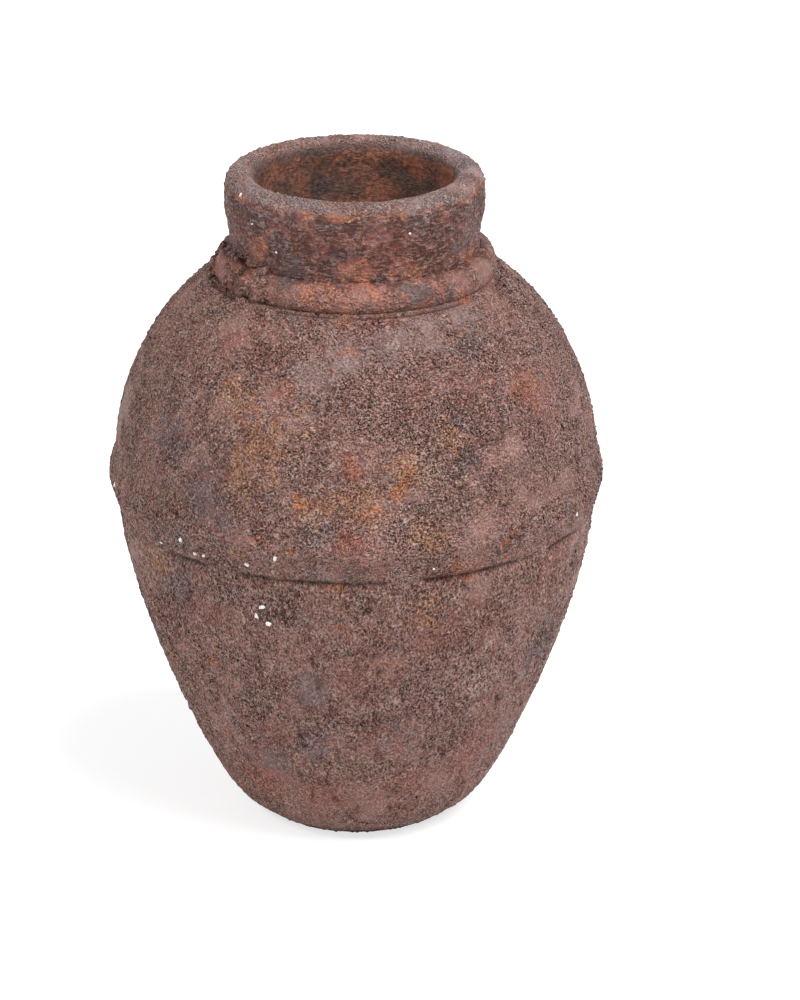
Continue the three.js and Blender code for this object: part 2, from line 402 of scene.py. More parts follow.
def outline_of(node):
    """The corners of a section's outline in order, with the clay on the left, as (radius, level) rows.

    They are where its solid meets the half plane y = 0, x > 0. An outline that doesn't start on the axis
    closes on itself.
    """
    solid = bmesh.new()
    solid.from_mesh(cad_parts[node].data)
    bmesh.ops.remove_doubles(solid, verts=solid.verts, dist=0.01 * MM)
    on_plane = 0.02 * MM
    meridian = {v for v in solid.verts if abs(v.co.y) < on_plane and v.co.x > -on_plane}
    here = min(meridian, key=lambda v: (v.co.x > on_plane, v.co.z, v.co.x))
    path = []
    while here is not None:
        path.append(here)
        beside = (edge.other_vert(here) for edge in here.link_edges)
        here = next((v for v in beside if v in meridian and v not in path), None)
    corners = np.array([(v.co.x, v.co.z) for v in path])
    solid.free()
    radius, level = corners.T
    area = np.sum(radius * np.roll(level, -1) - np.roll(radius, -1) * level)
    return corners if area > 0 else corners[::-1]


outlines = {node: outline_of(node) for node in SECTIONS}


def covered(points, node):
    """Which of the points lie in another section's clay."""
    hit = np.zeros(len(points), bool)
    for other, corners in outlines.items():
        if other == node:
            continue
        inside = np.zeros(len(points), bool)
        for (r0, z0), (r1, z1) in zip(corners, np.roll(corners, -1, axis=0)):
            if z0 == z1:
                continue
            crosses = (z0 > points[:, 1]) != (z1 > points[:, 1])
            at = r0 + (points[:, 1] - z0) * (r1 - r0) / (z1 - z0)
            inside ^= crosses & (points[:, 0] < at)
        hit |= inside
    return hit


def stretches(corners):
    """The outline cut at its sharp corners: runs of corners, each run with both its ends."""
    on_axis = corners[0][0] < 0.02 * MM
    ring = corners if on_axis else np.vstack([corners, corners[:1]])
    steps = np.diff(ring, axis=0)
    heading = np.arctan2(steps[:, 1], steps[:, 0])
    turn = np.abs((heading - np.roll(heading, 1) + math.pi) % (2 * math.pi) - math.pi)
    cuts = [i for i in range(len(turn)) if turn[i] > SHARP_TURN]
    if on_axis:
        cuts = sorted({0, *cuts, len(ring) - 1})
    else:
        first = cuts[0]
        ring = np.vstack([ring[first:-1], ring[:first + 1]])
        cuts = [c - first for c in cuts] + [len(ring) - 1]
    return [ring[a:b + 1] for a, b in zip(cuts, cuts[1:])]


def smooth_run(corners, spacing):
    """Points about one spacing apart on a smooth curve through the corners."""
    ends = [2 * corners[0] - corners[1], 2 * corners[-1] - corners[-2]]
    knots = np.vstack([ends[:1], corners, ends[1:]])
    run = []
    for a, b, c, d in zip(knots, knots[1:], knots[2:], knots[3:]):
        count = max(1, round(np.linalg.norm(c - b) / spacing))
        t0 = 0.0
        t1 = t0 + np.linalg.norm(b - a) ** 0.5
        t2 = t1 + np.linalg.norm(c - b) ** 0.5
        t3 = t2 + np.linalg.norm(d - c) ** 0.5
        for t in np.linspace(t1, t2, count, endpoint=False):
            ab = a + (b - a) * (t - t0) / (t1 - t0)
            bc = b + (c - b) * (t - t1) / (t2 - t1)
            cd = c + (d - c) * (t - t2) / (t3 - t2)
            abc = ab + (bc - ab) * (t - t0) / (t2 - t0)
            bcd = bc + (cd - bc) * (t - t1) / (t3 - t1)
            run.append(abc + (bcd - abc) * (t - t1) / (t2 - t1))
    return np.array([*run, corners[-1]])


def outward(run):
    """The unit normals of a run, away from the clay on its left."""
    along = np.gradient(run, axis=0)
    normal = np.column_stack([along[:, 1], -along[:, 0]])
    return normal / np.linalg.norm(normal, axis=1, keepdims=True)


def soft_step(value, low, high):
    share = np.clip((value - low) / (high - low), 0, 1)
    return share * share * (3 - 2 * share)


def skin_line():
    """The outside of the whole jar as rising (level, radius) rows, for placing things on its skin."""
    rows = []
    for node in (BASE, LOWER, BAND, SHOULDER, COLLAR, NECK, RIM):
        for run in stretches(outlines[node]):
            fine = smooth_run(run, 2 * MM)
            normal = outward(fine)
            open_air = ~covered(fine + COVER_REACH * normal, node)
            outer = open_air & (normal[:, 0] > 0.05) & (fine[:, 0] > 0.4 * widest_radius)
            rows += [(level, radius) for radius, level in fine[outer]]
    return np.array(sorted(rows))


SKIN = skin_line()


def round_point(azimuth, radius, level):
    turn = math.radians(azimuth)
    return Vector((radius * math.sin(turn), -radius * math.cos(turn), level))


def skin_point(azimuth, level):
    """The point of the nominal outer skin at an azimuth and a level."""
    return round_point(azimuth, float(np.interp(level, SKIN[:, 0], SKIN[:, 1])), level)


def on_skin(places):
    return [(skin_point(azimuth, level), reach) for azimuth, level, reach in places]


def on_bore(places):
    """Places on the inside of the neck."""
    radius = outlines[NECK][:, 0].min()
    return [(round_point(azimuth, radius, level), reach) for azimuth, level, reach in places]


def open_ends():
    """Where the stretches of open skin end: (section, place, normal) for each end."""
    found = []
    for node in SECTIONS:
        for run in stretches(outlines[node]):
            fine = smooth_run(run, 1 * MM)
            normal = outward(fine)
            if not covered(fine + COVER_REACH * normal, node)[1:-1].all():
                found += [(node, fine[0], normal[0]), (node, fine[-1], normal[-1])]
    return found


OPEN_ENDS = open_ends()


def met(node, points, normal):
    """The run with its ends brought together with the ends of the neighbours' skin, as luted clay is."""
    points = points.copy()
    normal = normal.copy()
    for end in (0, -1):
        for other, place, facing in OPEN_ENDS:
            if other != node and np.linalg.norm(place - points[end]) < SEAM_REACH:
                points[end] = (points[end] + place) / 2
                normal[end] = (normal[end] + facing) / np.linalg.norm(normal[end] + facing)
                break
    return points, normal


def profile_of(node, fine, coarse):
    """A section's outline as a mesh of points, each with what the turning and the relief need to know."""
    rows = []
    inner_piece = node in (FLOOR_COIL, BELLY_COIL)
    for run in stretches(outlines[node]):
        trial = smooth_run(run, 1 * MM)
        hidden = covered(trial + COVER_REACH * outward(trial), node)
        if hidden[1:-1].all():
            rows.append([run.copy(), outward(run), *np.zeros((3, len(run))), False])
            continue
        deep = inner_piece or (outward(trial)[:, 0].mean() < -0.5 and run[:, 1].min() < land_level - 20 * MM)
        points = smooth_run(run, coarse if deep else fine)
        points, normal = met(node, points, outward(points))
        hidden = covered(points + COVER_REACH * normal, node)
        gap = np.ones(len(points))
        if hidden.any():
            gap = np.min(np.linalg.norm(points[:, None] - points[hidden][None], axis=2), axis=1) / FADE_REACH
        crust = np.minimum(1, gap) * (normal[:, 1] > -0.98)
        inside = soft_step(-normal[:, 0], 0.55, 1.0)
        on_floor = np.abs(run[:, 1] - floor_level).max() <= 0.1 * MM
        if inner_piece or on_floor:
            inside = np.ones(len(points))
        from_start = np.linalg.norm(points - points[0], axis=1)
        from_end = np.linalg.norm(points - points[-1], axis=1)
        away = np.minimum(1, np.minimum(from_start, from_end) / SEAM_FADE)
        rows.append([points, normal, crust, inside, away, True])
    for row, after in zip(rows, rows[1:] + rows[:1]):
        if row[-1] != after[-1]:
            for part in range(5):
                if row[-1]:
                    after[part][0] = row[part][-1]
                else:
                    row[part][-1] = after[part][0]
    mesh = bpy.data.meshes.new(node + "_outline")
    points = np.vstack([row[0] for row in rows])
    mesh.from_pydata([(r, 0, z) for r, z in points], [], [])
    facing = np.vstack([row[1] for row in rows])
    corner = np.concatenate([np.isin(np.arange(len(row[0])), (0, len(row[0]) - 1)) for row in rows])
    numbers = {"facing_out": facing[:, 0], "facing_up": facing[:, 1], "corner": corner.astype(float)}
    for part, name in enumerate(("crust", "inside", "away"), 2):
        numbers[name] = np.concatenate([row[part] for row in rows])
    for name, values in numbers.items():
        layer = mesh.attributes.new(name, "FLOAT", "POINT")
        layer.data.foreach_set("value", np.asarray(values, np.float32))
    return mesh


def crumbs(net, point, size):
    """Crumbs of slip: 0 in the gaps and 1 on the tops."""
    wandering = net.warp(net.warp(point, 13 * MM, 6 * MM), 3.5 * MM, 1.3 * MM)
    unit = net.vector("MULTIPLY", wandering, (1 / size, 1 / size, 1 / size))
    cell = net.cells(unit, 1.0, smooth=0.3)
    heap = net.ramp(cell.outputs["Distance"], 0.75, 0.1)
    height = net.ramp(net.parts(cell.outputs["Color"])[0], 0.15, 0.85, 0.35, 1.0)
    cloud = net.ramp(net.noise(unit, 1.0, detail=3.0), 0.3, 0.7)
    return net.blend(0.35, net.times(heap, height), cloud)


def worn_places(net, point):
    """1 where the crust was smoothed by hand, 0 where it stands."""
    wandering = net.warp(point, 14 * MM, 12 * MM)
    listed = net.near(wandering, on_skin(SMOOTH_PLACES))
    strewn = net.ramp(net.noise(point, 30 * MM, detail=2.0, shift=3.0), 0.6, 0.68)
    return net.most(listed, strewn)


def turned_wall_tree():
    """Geometry nodes that turn an outline round the jar's axis and raise the crust on it."""
    inputs = {"Outline": "Geometry", "Facets": "Int", "Crumb Height": "Float", "Streak Height": "Float",
              "Drag Height": "Float", "Wobble Height": "Float", "Clay": "Material"}
    net = geometry_net("turned_wall", inputs, "Wall")
    given = net.node("NodeGroupInput").outputs

    size = net.node("GeometryNodeAttributeDomainSize", {0: given["Outline"]}, component="MESH")
    rows = size.outputs["Point Count"]
    columns = net.node("FunctionNodeIntegerMath", {0: given["Facets"], 1: 1}, operation="ADD").outputs[0]
    sheet = net.node("GeometryNodeMeshGrid", {"Vertices X": columns, "Vertices Y": rows}).outputs["Mesh"]
    index = net.node("GeometryNodeInputIndex").outputs[0]
    row = net.node("FunctionNodeIntegerMath", {0: index, 1: rows}, operation="MODULO").outputs[0]
    column = net.node("FunctionNodeIntegerMath", {0: index, 1: rows}, operation="DIVIDE_FLOOR").outputs[0]

    def of_outline(value, kind="FLOAT"):
        feeds = {"Geometry": given["Outline"], "Value": value, "Index": row}
        return net.node("GeometryNodeSampleIndex", feeds, data_type=kind, domain="POINT").outputs[0]

    place = net.node("GeometryNodeInputPosition").outputs[0]
    radius, _, level = net.parts(of_outline(place, "FLOAT_VECTOR"))
    angle = net.times(net.math("DIVIDE", column, given["Facets"]), 2 * math.pi)
    across = net.math("SINE", angle)
    ahead = net.math("COSINE", angle)
    rest = net.joined(net.times(radius, across), net.times(radius, ahead), level)
    out = of_outline(net.named("facing_out"))
    rise = of_outline(net.named("facing_up"))
    normal = net.joined(net.times(out, across), net.times(out, ahead), rise)

    crust = of_outline(net.named("crust"))
    inside = of_outline(net.named("inside"))
    away = of_outline(net.named("away"))
    crumb_height = net.blend(away, CRUMB_HEIGHT, given["Crumb Height"])
    streak_height = net.times(away, given["Streak Height"])
    drag_height = net.times(away, given["Drag Height"])
    rough = net.times(crust, net.blend(inside, 1.0, 0.3))
    worn = worn_places(net, rest)
    crumb = crumbs(net, rest, CRUMB_SIZE)
    standing = net.times(net.less(crumb, 0.6), net.blend(worn, 1.0, 0.4))
    slow = net.less(net.noise(rest, 120 * MM, detail=1.0), 0.5)
    uneven = net.less(net.noise(rest, 30 * MM, detail=1.0, shift=5.0), 0.5)
    streak_point = net.stretch(net.warp(rest, 20 * MM, 4 * MM), 9.0, 1.0)
    streaks = net.less(net.noise(streak_point, 2.6 * MM, detail=2.0), 0.5)
    drag_point = net.stretch(net.warp(rest, 16 * MM, 8 * MM), 1.0, 6.0)
    drags = net.noise(drag_point, 4.5 * MM, detail=1.0)
    gouges = net.ramp(drags, 0.64, 0.7)
    coarse = net.ramp(net.noise(rest, 36 * MM, detail=1.0, shift=6.0), 0.35, 0.65, 0.6, 1.25)
    heap = 0.0
    clods = 0.0
    for azimuth, lump_level, reach, height in LUMPS:
        gap = net.distance(net.warp(rest, 9 * MM, 7 * MM), skin_point(azimuth, lump_level))
        share = net.ramp(gap, reach, 0.0)
        heap = net.add(heap, net.times(share, height))
        clods = net.most(clods, share)
    clod = net.less(net.noise(net.warp(rest, 6 * MM, 4 * MM), 5 * MM, detail=3.0, shift=8.0), 0.5)
    heap = net.add(heap, net.times(net.times(clods, clod), 7 * MM))
    lift = net.times(net.times(crumb_height, coarse), standing)
    lift = net.times(lift, net.add(1.0, clods))
    lift = net.add(lift, heap)
    lift = net.add(lift, net.times(given["Wobble Height"], net.add(slow, net.times(uneven, 0.6))))
    lift = net.add(lift, net.times(streak_height, streaks))
    lift = net.less(lift, net.times(drag_height, net.add(gouges, net.less(drags, 0.5))))
    broken = net.ramp(net.noise(rest, 26 * MM, shift=7.0), 0.35, 0.6, -0.3, 1.0)
    # Painted shade: this share darkens the gouges, the creases, the holes and the gaps between clods.
    hollow_shade = net.times(gouges, net.math("MINIMUM", 0.35, net.times(drag_height, 1 / MM)))
    for crease_level, depth, reach in CREASES:
        gap = net.math("ABSOLUTE", net.less(level, crease_level))
        pressed = net.times(net.ramp(gap, reach, 0.0), broken)
        lift = net.less(lift, net.times(pressed, depth))
        hollow_shade = net.most(hollow_shade, net.times(net.ramp(gap, 0.6 * reach, 0.0), net.ramp(broken, 0.2, 0.9)))
    for azimuth, hole_level, reach, depth in HOLES:
        gap = net.distance(net.warp(rest, 4 * MM, 3 * MM), skin_point(azimuth, hole_level))
        pressed = net.ramp(gap, reach, 0.0)
        lift = net.less(lift, net.times(pressed, depth))
        hollow_shade = net.most(hollow_shade, pressed)
    lift = net.times(lift, rough)

    moved = net.vector("ADD", rest, net.vector("MULTIPLY", normal, net.joined(lift, lift, lift)))
    x, y, z = net.parts(moved)
    reach = net.math("SQRT", net.add(net.times(x, x), net.times(y, y)))
    fit = net.math("MINIMUM", 1.0, net.math("DIVIDE", widest_radius, net.most(reach, 1 * MM)))
    low_fit = net.math("MINIMUM", net.most(z, 0.0), top_level)
    final = net.joined(net.times(x, fit), net.times(y, fit), low_fit)

    shape = net.keep(sheet, "rest", rest, "FLOAT_VECTOR")
    shape = net.keep(shape, "worn", worn)
    for name, places, blot, scarce in TINTS:
        chance = net.ramp(net.noise(rest, blot, detail=3.0, shift=float(len(name))), scarce, scarce + 0.12)
        shape = net.keep(shape, name, net.most(net.near(rest, on_skin(places)), chance))
    # Painted shade in the gaps between the clods.
    shade_between_clods = net.times(clods, net.ramp(clod, -0.04, -0.14, 0.0, 0.3))
    shape = net.keep(shape, "hollow_shade", net.most(hollow_shade, shade_between_clods))
    shape = net.keep(shape, "inside", inside)
    shape = net.keep(shape, "corner", of_outline(net.named("corner")))
    shape = net.shaped("SetPosition", shape, Position=final)
    shape = net.shaped("MergeByDistance", shape, Distance=MERGE_REACH)
    sharp = net.node("FunctionNodeCompare", {0: net.named("corner"), 1: 0.99}, data_type="FLOAT").outputs[0]
    shape = net.keep(shape, "sharp_edge", sharp, "BOOLEAN", "EDGE")
    shape = net.shaped("SetShadeSmooth", shape)
    shape = net.shaped("RealizeInstances", shape)
    net.node("NodeGroupOutput", {0: net.shaped("SetMaterial", shape, Material=given["Clay"])})
    return net.tree


def made_by(tree, name, seed_mesh, **sizes):
    """The plain mesh that a geometry tree makes from a seed mesh, with the tree's inputs set by name."""
    source = placed(name + "_source", seed_mesh)
    modifier = source.modifiers.new("make", "NODES")
    modifier.node_group = tree
    names = {item.name: item.identifier for item in tree.interface.items_tree if item.in_out == "INPUT"}
    for words, value in sizes.items():
        modifier[names[words.replace("_", " ").title()]] = value
    ready = source.evaluated_get(bpy.context.evaluated_depsgraph_get())
    mesh = bpy.data.meshes.new_from_object(ready)
    source.modifiers.clear()
    bpy.data.objects.remove(source)
    mesh.name = name
    return mesh


def closed_outwards(mesh):
    """Turns all faces of a closed mesh outwards."""
    shape = bmesh.new()
    shape.from_mesh(mesh)
    bmesh.ops.recalc_face_normals(shape, faces=shape.faces)
    if shape.calc_volume(signed=True) < 0:
        bmesh.ops.reverse_faces(shape, faces=shape.faces)
    shape.to_mesh(mesh)
    shape.free()


def clay_material(name, paint, turned=True):
    """A clay whose colour, roughness and bump heights a paint function draws.

    On turned walls it is drawn where the skin was before its relief, so that it keeps to the relief's crumbs.
    """
    material = bpy.data.materials.new(name)
    net = shader_net(material)
    if turned:
        point = net.node("ShaderNodeAttribute", attribute_name="rest").outputs["Vector"]
    else:
        point = net.node("ShaderNodeTexCoord").outputs["Object"]
    colour, rough, heights = paint(net, point)
    normal = {}
    for height, reach in heights:
        feeds = {"Height": height, "Distance": reach, "Strength": 1.0, **normal}
        normal = {"Normal": net.node("ShaderNodeBump", feeds).outputs[0]}
    feeds = {"Base Color": colour, "Roughness": rough, "Specular IOR Level": CLAY_GLOSS, **normal}
    shader = net.node("ShaderNodeBsdfPrincipled", feeds)
    net.node("ShaderNodeOutputMaterial", {0: shader.outputs[0]})
    return material


def stored(net, name):
    return net.node("ShaderNodeAttribute", attribute_name=name).outputs["Fac"]


def gathered(net, point, name):
    """How far a tint shows here, with its edges broken by the grain."""
    broken = net.less(net.noise(point, 5 * MM, detail=5.0, rough=0.65, shift=float(len(name))), 0.5)
    return net.ramp(net.add(stored(net, name), net.times(broken, 1.6)), 0.25, 0.85)


def grit(net, point, size):
    """The height of fine grit, from 0 to 1, with three numbers that differ from grain to grain."""
    wandering = net.warp(point, 9 * MM, 4 * MM)
    grain = net.cells(wandering, size)
    height = net.noise(wandering, 1.25 * size, detail=1.0, rough=0.45)
    return net.ramp(height, 0.2, 0.8), net.parts(grain.outputs["Color"])


def worn_crumbs(net, point, worn):
    """The relief's own crumbs, fainter where they are worn smooth."""
    return net.add(0.5, net.times(net.less(crumbs(net, point, CRUMB_SIZE), 0.5), net.blend(worn, 1.0, 0.4)))


def thread(net, point, size, shift):
    """1 on thin lines that wander and branch like dragged slip, gathered in patches."""
    wandering = net.warp(point, 8 * MM, 10 * MM)
    line = net.math("ABSOLUTE", net.less(net.noise(wandering, size, detail=2.0, rough=0.6, shift=shift), 0.5))
    patch = net.ramp(net.noise(point, 20 * MM, detail=3.0, shift=shift + 1.0), 0.42, 0.56)
    return net.times(net.ramp(line, 0.035, 0.0), patch)


def grain_shade_and_highlight(net, colour, grain, fine, lively):
    """The colour with painted shade in dark red-brown between its grains and crumbs, painted highlights in
    pale dust on their tops, and painted shade in near black in the hollows.
    """
    colour = net.wash(colour, DEEP_SHADE, net.ramp(fine, 0.44, 0.2, 0.0, 0.6), lively)
    colour = net.wash(colour, DUST_AND_HIGHLIGHT, net.ramp(fine, 0.58, 0.85, 0.0, 0.42), lively)
    colour = net.wash(colour, DEEP_SHADE, net.ramp(grain, 0.36, 0.16), net.times(lively, 0.6))
    # Painted shade in the hollows, in near black.
    return net.wash(colour, DARK_SLIP_AND_SHADE, stored(net, "hollow_shade"), 0.75)


def speckled(net, colour, picks, lively):
    """The colour with its grains tinted one by one: some sooty, some rusty, some dusty."""
    first, second, _ = picks
    colour = net.wash(colour, UMBER, net.ramp(first, 0.3, 0.2, 0.0, 0.3), lively)
    colour = net.wash(colour, RUST, net.ramp(first, 0.74, 0.84, 0.0, 0.25), lively)
    return net.wash(colour, DUST_AND_HIGHLIGHT, net.ramp(second, 0.8, 0.88, 0.0, 0.2), lively)


def mottled(net, colour, point, strength):
    """The colour in blots a few grains wide: redder, smokier and browner."""
    wandering = net.warp(point, 7 * MM, 6 * MM)
    first = net.noise(wandering, 5 * MM, detail=4.0, rough=0.6, shift=20.0)
    second = net.noise(wandering, 7 * MM, detail=4.0, rough=0.6, shift=21.0)
    colour = net.wash(colour, RED, net.ramp(first, 0.5, 0.66), strength)
    colour = net.wash(colour, SMOKE, net.ramp(first, 0.48, 0.34), strength)
    return net.wash(colour, OLIVE, net.ramp(second, 0.52, 0.68), strength)


def fleck(net, colour, picks, share, lively):
    """Ochre and orange on a share of the grains."""
    _, second, third = picks
    chosen = net.ramp(net.add(third, share), 0.98, 1.02)
    bright = net.tint(net.ramp(second, 0.4, 0.8), ORANGE, OCHRE)
    return net.wash(colour, bright, chosen, lively)


def threaded(net, colour, point, strength):
    """The colour with pale and dark threads of slip."""
    colour = net.wash(colour, DARK_SLIP_AND_SHADE, thread(net, point, 5 * MM, 12.0), strength)
    return net.wash(colour, DUST_AND_HIGHLIGHT, thread(net, point, 6 * MM, 15.0), strength)


def inside_look(net, point, colour):
    """The bare inside wall: brown, clouded and sooty, with ochre stains below the lip, and a painted shadow
    band just under the lip's inner edge.
    """
    share = stored(net, "inside")
    wandering = net.warp(point, 12 * MM, 9 * MM)
    cloud = net.ramp(net.noise(wandering, 22 * MM, detail=5.0, rough=0.6), 0.42, 0.6)
    inner = net.tint(cloud, INSIDE_BROWN, INSIDE_DARK)
    inner = net.wash(inner, SOOT_AND_SHADE, net.near(point, on_bore(INSIDE_SOOT_PLACES)), 0.6)
    lip_gap = net.math("ABSOLUTE", net.less(net.parts(wandering)[2], top_level - 5 * MM))
    runs = net.stretch(wandering, 1.0, 1.6)
    high = net.ramp(net.parts(point)[2], top_level - 34 * MM, top_level - 16 * MM, 0.1, 0.5)
    ochre = net.times(high, net.ramp(net.noise(runs, 9 * MM, detail=5.0, rough=0.65, shift=2.0), 0.52, 0.66))
    inner = net.tint(ochre, inner, INSIDE_RUST)
    mottle = net.ramp(net.noise(point, 2.4 * MM, detail=4.0, rough=0.6), 0.34, 0.66, 0.6, 1.4)
    stain = net.near(point, on_bore(INSIDE_OCHRE_PLACES))
    inner = net.wash(inner, EMBER, stain, 0.6)
    # Painted shadow: a dark band just under the inside edge of the lip.
    inner = net.tint(net.ramp(lip_gap, 4 * MM, 1 * MM, 0.0, 0.75), inner, SOOT_AND_SHADE)
    inner = net.tint(1.0, inner, mottle, "MULTIPLY")
    return net.tint(share, colour, inner)


def crusted_paint(net, point, warmth=0.0, upright=1.0):
    """The crusted slip of the body: brown and rose clay, smoky and plum patches, rust, ochre and dust, with
    painted shade between the grains, in the hollows, towards the bottom and under the foot, and painted
    highlights on the grain tops.
    """
    wandering = net.warp(point, 16 * MM, 16 * MM)
    worn = stored(net, "worn")
    crumb = worn_crumbs(net, point, worn)
    fine, picks = grit(net, net.stretch(point, 1.0, upright), BODY_GRIT)
    grain = net.blend(0.62, crumb, fine)
    low = net.ramp(net.parts(point)[2], 10 * MM, 130 * MM, 0.7, 1.0)
    calm = net.ramp(net.noise(wandering, 26 * MM, detail=4.0, shift=10.0), 0.38, 0.6, 0.68, 1.15)
    lively = net.times(net.times(calm, low), net.blend(worn, 1.0, 0.55))

    drift = net.noise(wandering, 50 * MM, detail=6.0, rough=0.6, shift=1.0)
    # Lighter and rosier towards the right side.
    sideways = net.ramp(net.parts(point)[0], -0.7 * widest_radius, 0.7 * widest_radius, -0.06, 0.06)
    colour = net.tint(net.ramp(net.add(drift, sideways), 0.42, 0.58), BROWN, ROSE)
    dark = net.ramp(net.noise(wandering, 16 * MM, detail=6.0, rough=0.65, shift=2.0), 0.5, 0.64, 0.0, 0.5)
    colour = net.tint(dark, colour, UMBER)
    # Painted shade: darker towards the bottom, away from the light from above.
    colour = net.wash(colour, DEEP_SHADE, net.less(1.0, low), 0.65)
    colour = net.wash(colour, UMBER, net.less(1.15, calm), 0.5)
    colour = mottled(net, colour, point, 0.32)
    colour = net.wash(colour, PLUM, gathered(net, point, "plum"), 0.8)
    colour = net.wash(colour, RED, gathered(net, point, "reddish"), 0.6)
    red = net.noise(wandering, 8 * MM, detail=5.0, rough=0.65, shift=4.0)
    colour = net.wash(colour, RED, net.ramp(red, 0.5 - warmth, 0.66 - warmth), 0.6)
    colour = net.wash(colour, SMOKE, gathered(net, point, "smoke"), 0.55)
    colour = net.wash(colour, DARK_SLIP_AND_SHADE, worn, 0.1)
    colour = speckled(net, colour, picks, lively)
    colour = net.wash(colour, RUST, gathered(net, point, "rust"), 0.62)
    ochre = net.times(gathered(net, point, "ochre"), net.less(1.0, worn))
    colour = net.wash(colour, RUST, ochre, 0.22)
    colour = fleck(net, colour, picks, net.blend(ochre, 0.015, 0.42), 0.75)
    ember = gathered(net, point, "ember")
    colour = net.wash(colour, EMBER, ember, net.ramp(fine, 0.2, 0.6, 0.3, 0.85))
    pale = gathered(net, point, "pale")
    colour = net.wash(colour, DUST_AND_HIGHLIGHT, pale, net.ramp(grain, 0.35, 0.65, 0.05, 0.38))
    colour = threaded(net, colour, point, 0.3)
    colour = grain_shade_and_highlight(net, colour, grain, fine, lively)
    # Painted contact shadow: the lowest few millimetres turn near black where the foot's rounded edge meets
    # the floor.
    foot = net.ramp(net.parts(point)[2], 5 * MM, 2 * MM, 0.0, 0.8)
    colour = net.tint(foot, colour, DARK_SLIP_AND_SHADE)
    colour = inside_look(net, point, colour)
    rough = net.blend(worn, net.ramp(fine, 0.2, 0.8, 0.85, 0.5), 0.55)
    bare = net.less(1.0, net.times(stored(net, "inside"), 0.75))
    raised = net.times(lively, bare)
    clustered = net.times(raised, net.blend(crumb, 0.7, 1.25))
    heights = [(net.times(crumb, raised), CRUMB_RELIEF), (net.times(fine, clustered), GRIT_RELIEF)]
    return colour, rough, heights


def scraped_paint(net, point):
    """The lower wall, whose slip was drawn up and down it."""
    return crusted_paint(net, point, upright=1.5)


def belt_paint(net, point):
    return crusted_paint(net, point, warmth=0.03)


def upper_paint(net, point):
    """The collar, neck and lip: brushed round and dark on the neck, pebbled and rubbed pale on the lip."""
    wandering = net.warp(point, 14 * MM, 9 * MM)
    worn = stored(net, "worn")
    crumb = worn_crumbs(net, point, worn)
    fine, picks = grit(net, point, UPPER_GRIT)
    brushing = net.stretch(net.warp(point, 12 * MM, 6 * MM), 3.2, 1.0)
    streak = net.ramp(net.noise(brushing, 1.5 * MM, detail=2.0, rough=0.65), 0.34, 0.66)
    level = net.parts(net.warp(point, 8 * MM, 6 * MM))[2]
    lip = net.ramp(level, top_level - 8 * MM, top_level - 4 * MM)
    ring = net.ramp(net.parts(point)[2], neck_root_level, neck_root_level - 3 * MM)
    brushed = net.times(net.less(1.0, lip), net.blend(ring, 0.7, 0.2))
    grain = net.blend(brushed, net.blend(0.5, crumb, fine), streak)
    calm = net.ramp(net.noise(wandering, 16 * MM, detail=4.0, shift=10.0), 0.4, 0.58, 0.4, 1.1)
    by_place = net.blend(lip, net.blend(ring, 0.6, 0.85), 0.75)
    lively = net.times(net.times(net.blend(worn, 1.0, 0.5), calm), by_place)

    drift = net.ramp(net.noise(wandering, 26 * MM, detail=5.0, rough=0.6, shift=1.0), 0.4, 0.6)
    colour = net.tint(ring, net.tint(drift, NECK_BROWN, NECK_PLUM), net.tint(drift, COLLAR_RED, UMBER))
    colour = net.tint(lip, colour, net.tint(drift, LIP_ROSE, LIP_GREY))
    colour = mottled(net, colour, point, net.blend(lip, net.blend(ring, 0.2, 0.4), 0.2))
    red = net.ramp(net.noise(wandering, 9 * MM, detail=5.0, rough=0.6, shift=4.0), 0.48, 0.64, 0.0, 0.7)
    colour = net.wash(colour, RED, red, net.blend(lip, 1.0, 0.25))
    sooty = net.tint(lip, SOOT_AND_SHADE, SMOKE)
    colour = net.wash(colour, sooty, gathered(net, point, "smoke"), 0.8)
    colour = speckled(net, colour, picks, net.times(lively, net.blend(lip, 0.8, 0.5)))
    rust = net.times(gathered(net, point, "rust"), net.blend(lip, 1.0, 0.1))
    colour = net.wash(colour, net.tint(ring, RUST, SALMON), rust, net.blend(ring, 0.45, 0.5))
    edge_gap = net.math("ABSOLUTE", net.less(level, top_level - 7 * MM))
    patchy = net.ramp(net.noise(wandering, 8 * MM, detail=4.0), 0.45, 0.6)
    edge = net.times(net.ramp(edge_gap, 3 * MM, 1 * MM), patchy)
    colour = net.wash(colour, RUST, edge, 0.6)
    # A patchy dark band just below the lip.
    below_gap = net.math("ABSOLUTE", net.less(level, top_level - 12 * MM))
    below = net.ramp(net.noise(wandering, 12 * MM, detail=5.0, rough=0.6, shift=15.0), 0.46, 0.6)
    colour = net.wash(colour, SOOT_AND_SHADE, net.times(net.ramp(below_gap, 5 * MM, 1 * MM), below), 0.6)
    share = net.most(net.blend(rust, 0.01, 0.12), net.times(edge, 0.25))
    colour = fleck(net, colour, picks, share, 0.55)
    ember = net.times(gathered(net, point, "ember"), net.less(1.0, lip))
    colour = net.wash(colour, EMBER, ember, net.ramp(grain, 0.25, 0.65, 0.1, 0.5))
    colour = threaded(net, colour, point, net.blend(lip, 0.22, 0.35))
    colour = grain_shade_and_highlight(net, colour, grain, net.blend(brushed, fine, streak), lively)
    colour = inside_look(net, point, colour)
    rough = net.blend(worn, net.ramp(fine, 0.2, 0.8, 0.8, 0.45), 0.5)
    bare = net.less(1.0, net.times(stored(net, "inside"), 0.75))
    raised = net.times(net.blend(net.times(brushed, 0.7), fine, streak), net.times(lively, bare))
    return colour, rough, [(raised, BRUSHED_RELIEF)]


